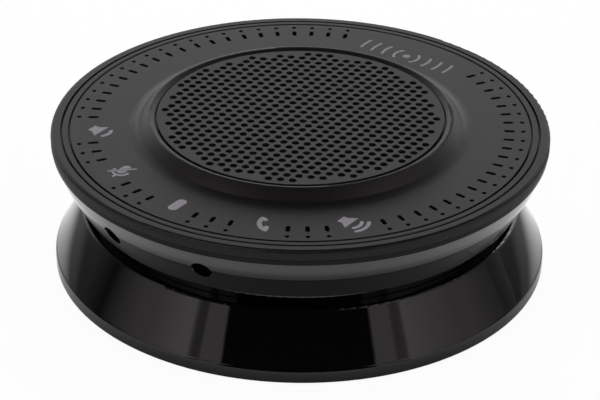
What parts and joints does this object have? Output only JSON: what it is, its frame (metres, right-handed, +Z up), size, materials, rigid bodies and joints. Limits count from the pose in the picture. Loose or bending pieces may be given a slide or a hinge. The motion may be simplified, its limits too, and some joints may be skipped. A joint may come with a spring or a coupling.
{
  "type": "conference speakerphone",
  "caption": "Round table speakerphone: matte deck with raised perforated speaker grille, touch legends and ring of slots, tapered gloss housing on a flared gloss base.",
  "frame": {"origin": "centre of the face it stands on, under the middle of the grille", "axes": "+Z up through the middle of the deck; -Y towards the user, where the status light is"},
  "size_m": [0.132, 0.132, 0.042],
  "materials": {
    "gloss_shell": "polished black moulding",
    "deck_plastic": "fine matte charcoal moulding",
    "grille_paint": "matte charcoal powder coat",
    "acoustic_cloth": "black open cloth",
    "legend_print": "pale lavender-grey translucent inlay",
    "rear_print": "pale grey inlay",
    "black_plastic": "satin black moulding",
    "foot_rubber": "soft black rubber",
    "foam": "closed-cell foam",
    "screw_steel": "zinc-plated steel",
    "plated_steel": "plated soft iron",
    "magnet": "ferrite",
    "contact_metal": "plated contact",
    "copper_coil": "enamelled winding",
    "circuit_board": "green solder mask",
    "chip_black": "moulded package",
    "connector_plastic": "natural nylon",
    "clear_guide": "milky light guide",
    "lamp_white": "lamp package",
    "flex_film": "amber film",
    "battery_wrap": "shrink wrap",
    "lead_wire": "insulated wire",
    "cone_paper": "coated paper",
    "surround_rubber": "rubber half roll",
    "spider_cloth": "treated cloth"
  },
  "bodies": {
    "housing": {"audio_jack": "black_plastic", "base_plate": "black_plastic", "base_plate_screws": "screw_steel", "base_screws": "screw_steel", "base_shell": "gloss_shell", "battery_leads": "lead_wire", "battery_pack": "battery_wrap", "battery_pad": "foam", "board_chips": "chip_black", "call_key": "legend_print", "cone_surround": "surround_rubber", "flex_cable": "flex_film", "flex_connectors": "connector_plastic", "foot_ring": "foot_rubber", "grille_cloth": "acoustic_cloth", "housing_screws": "screw_steel", "indicator_leds": "lamp_white", "light_guides": "clear_guide", "lower_housing": "gloss_shell", "main_board": "circuit_board", "main_board_screws": "screw_steel", "mic_mute_key": "legend_print", "microphone_gaskets": "foot_rubber", "microphones": "contact_metal", "power_jack": "black_plastic", "power_jack_pin": "contact_metal", "rear_mark": "rear_print", "shield_can": "screw_steel", "speaker_frame": "black_plastic", "speaker_gasket": "foam", "speaker_grille": "grille_paint", "speaker_leads": "lead_wire", "speaker_magnet": "magnet", "speaker_screws": "screw_steel", "speaker_terminal": "connector_plastic", "speaker_top_plate": "plated_steel", "speaker_yoke": "plated_steel", "spider": "spider_cloth", "status_light": "legend_print", "top_cover": "deck_plastic", "touch_adhesive": "foam", "touch_board": "circuit_board", "touch_board_screws": "screw_steel", "trim_ring": "deck_plastic", "volume_down_key": "legend_print", "volume_up_key": "legend_print", "wire_connectors": "connector_plastic"},
    "diaphragm": {"voice_coil": "copper_coil", "speaker_cone": "cone_paper", "dust_cap": "cone_paper"}
  },
  "joints": [
    {"name": "diaphragm_slide", "type": "slide", "parent": "housing", "child": "diaphragm", "axis": [0, 0, 1], "range_m": [-0.0015, 0.0015], "deforming": ["cone_surround", "spider"]}
  ]
}
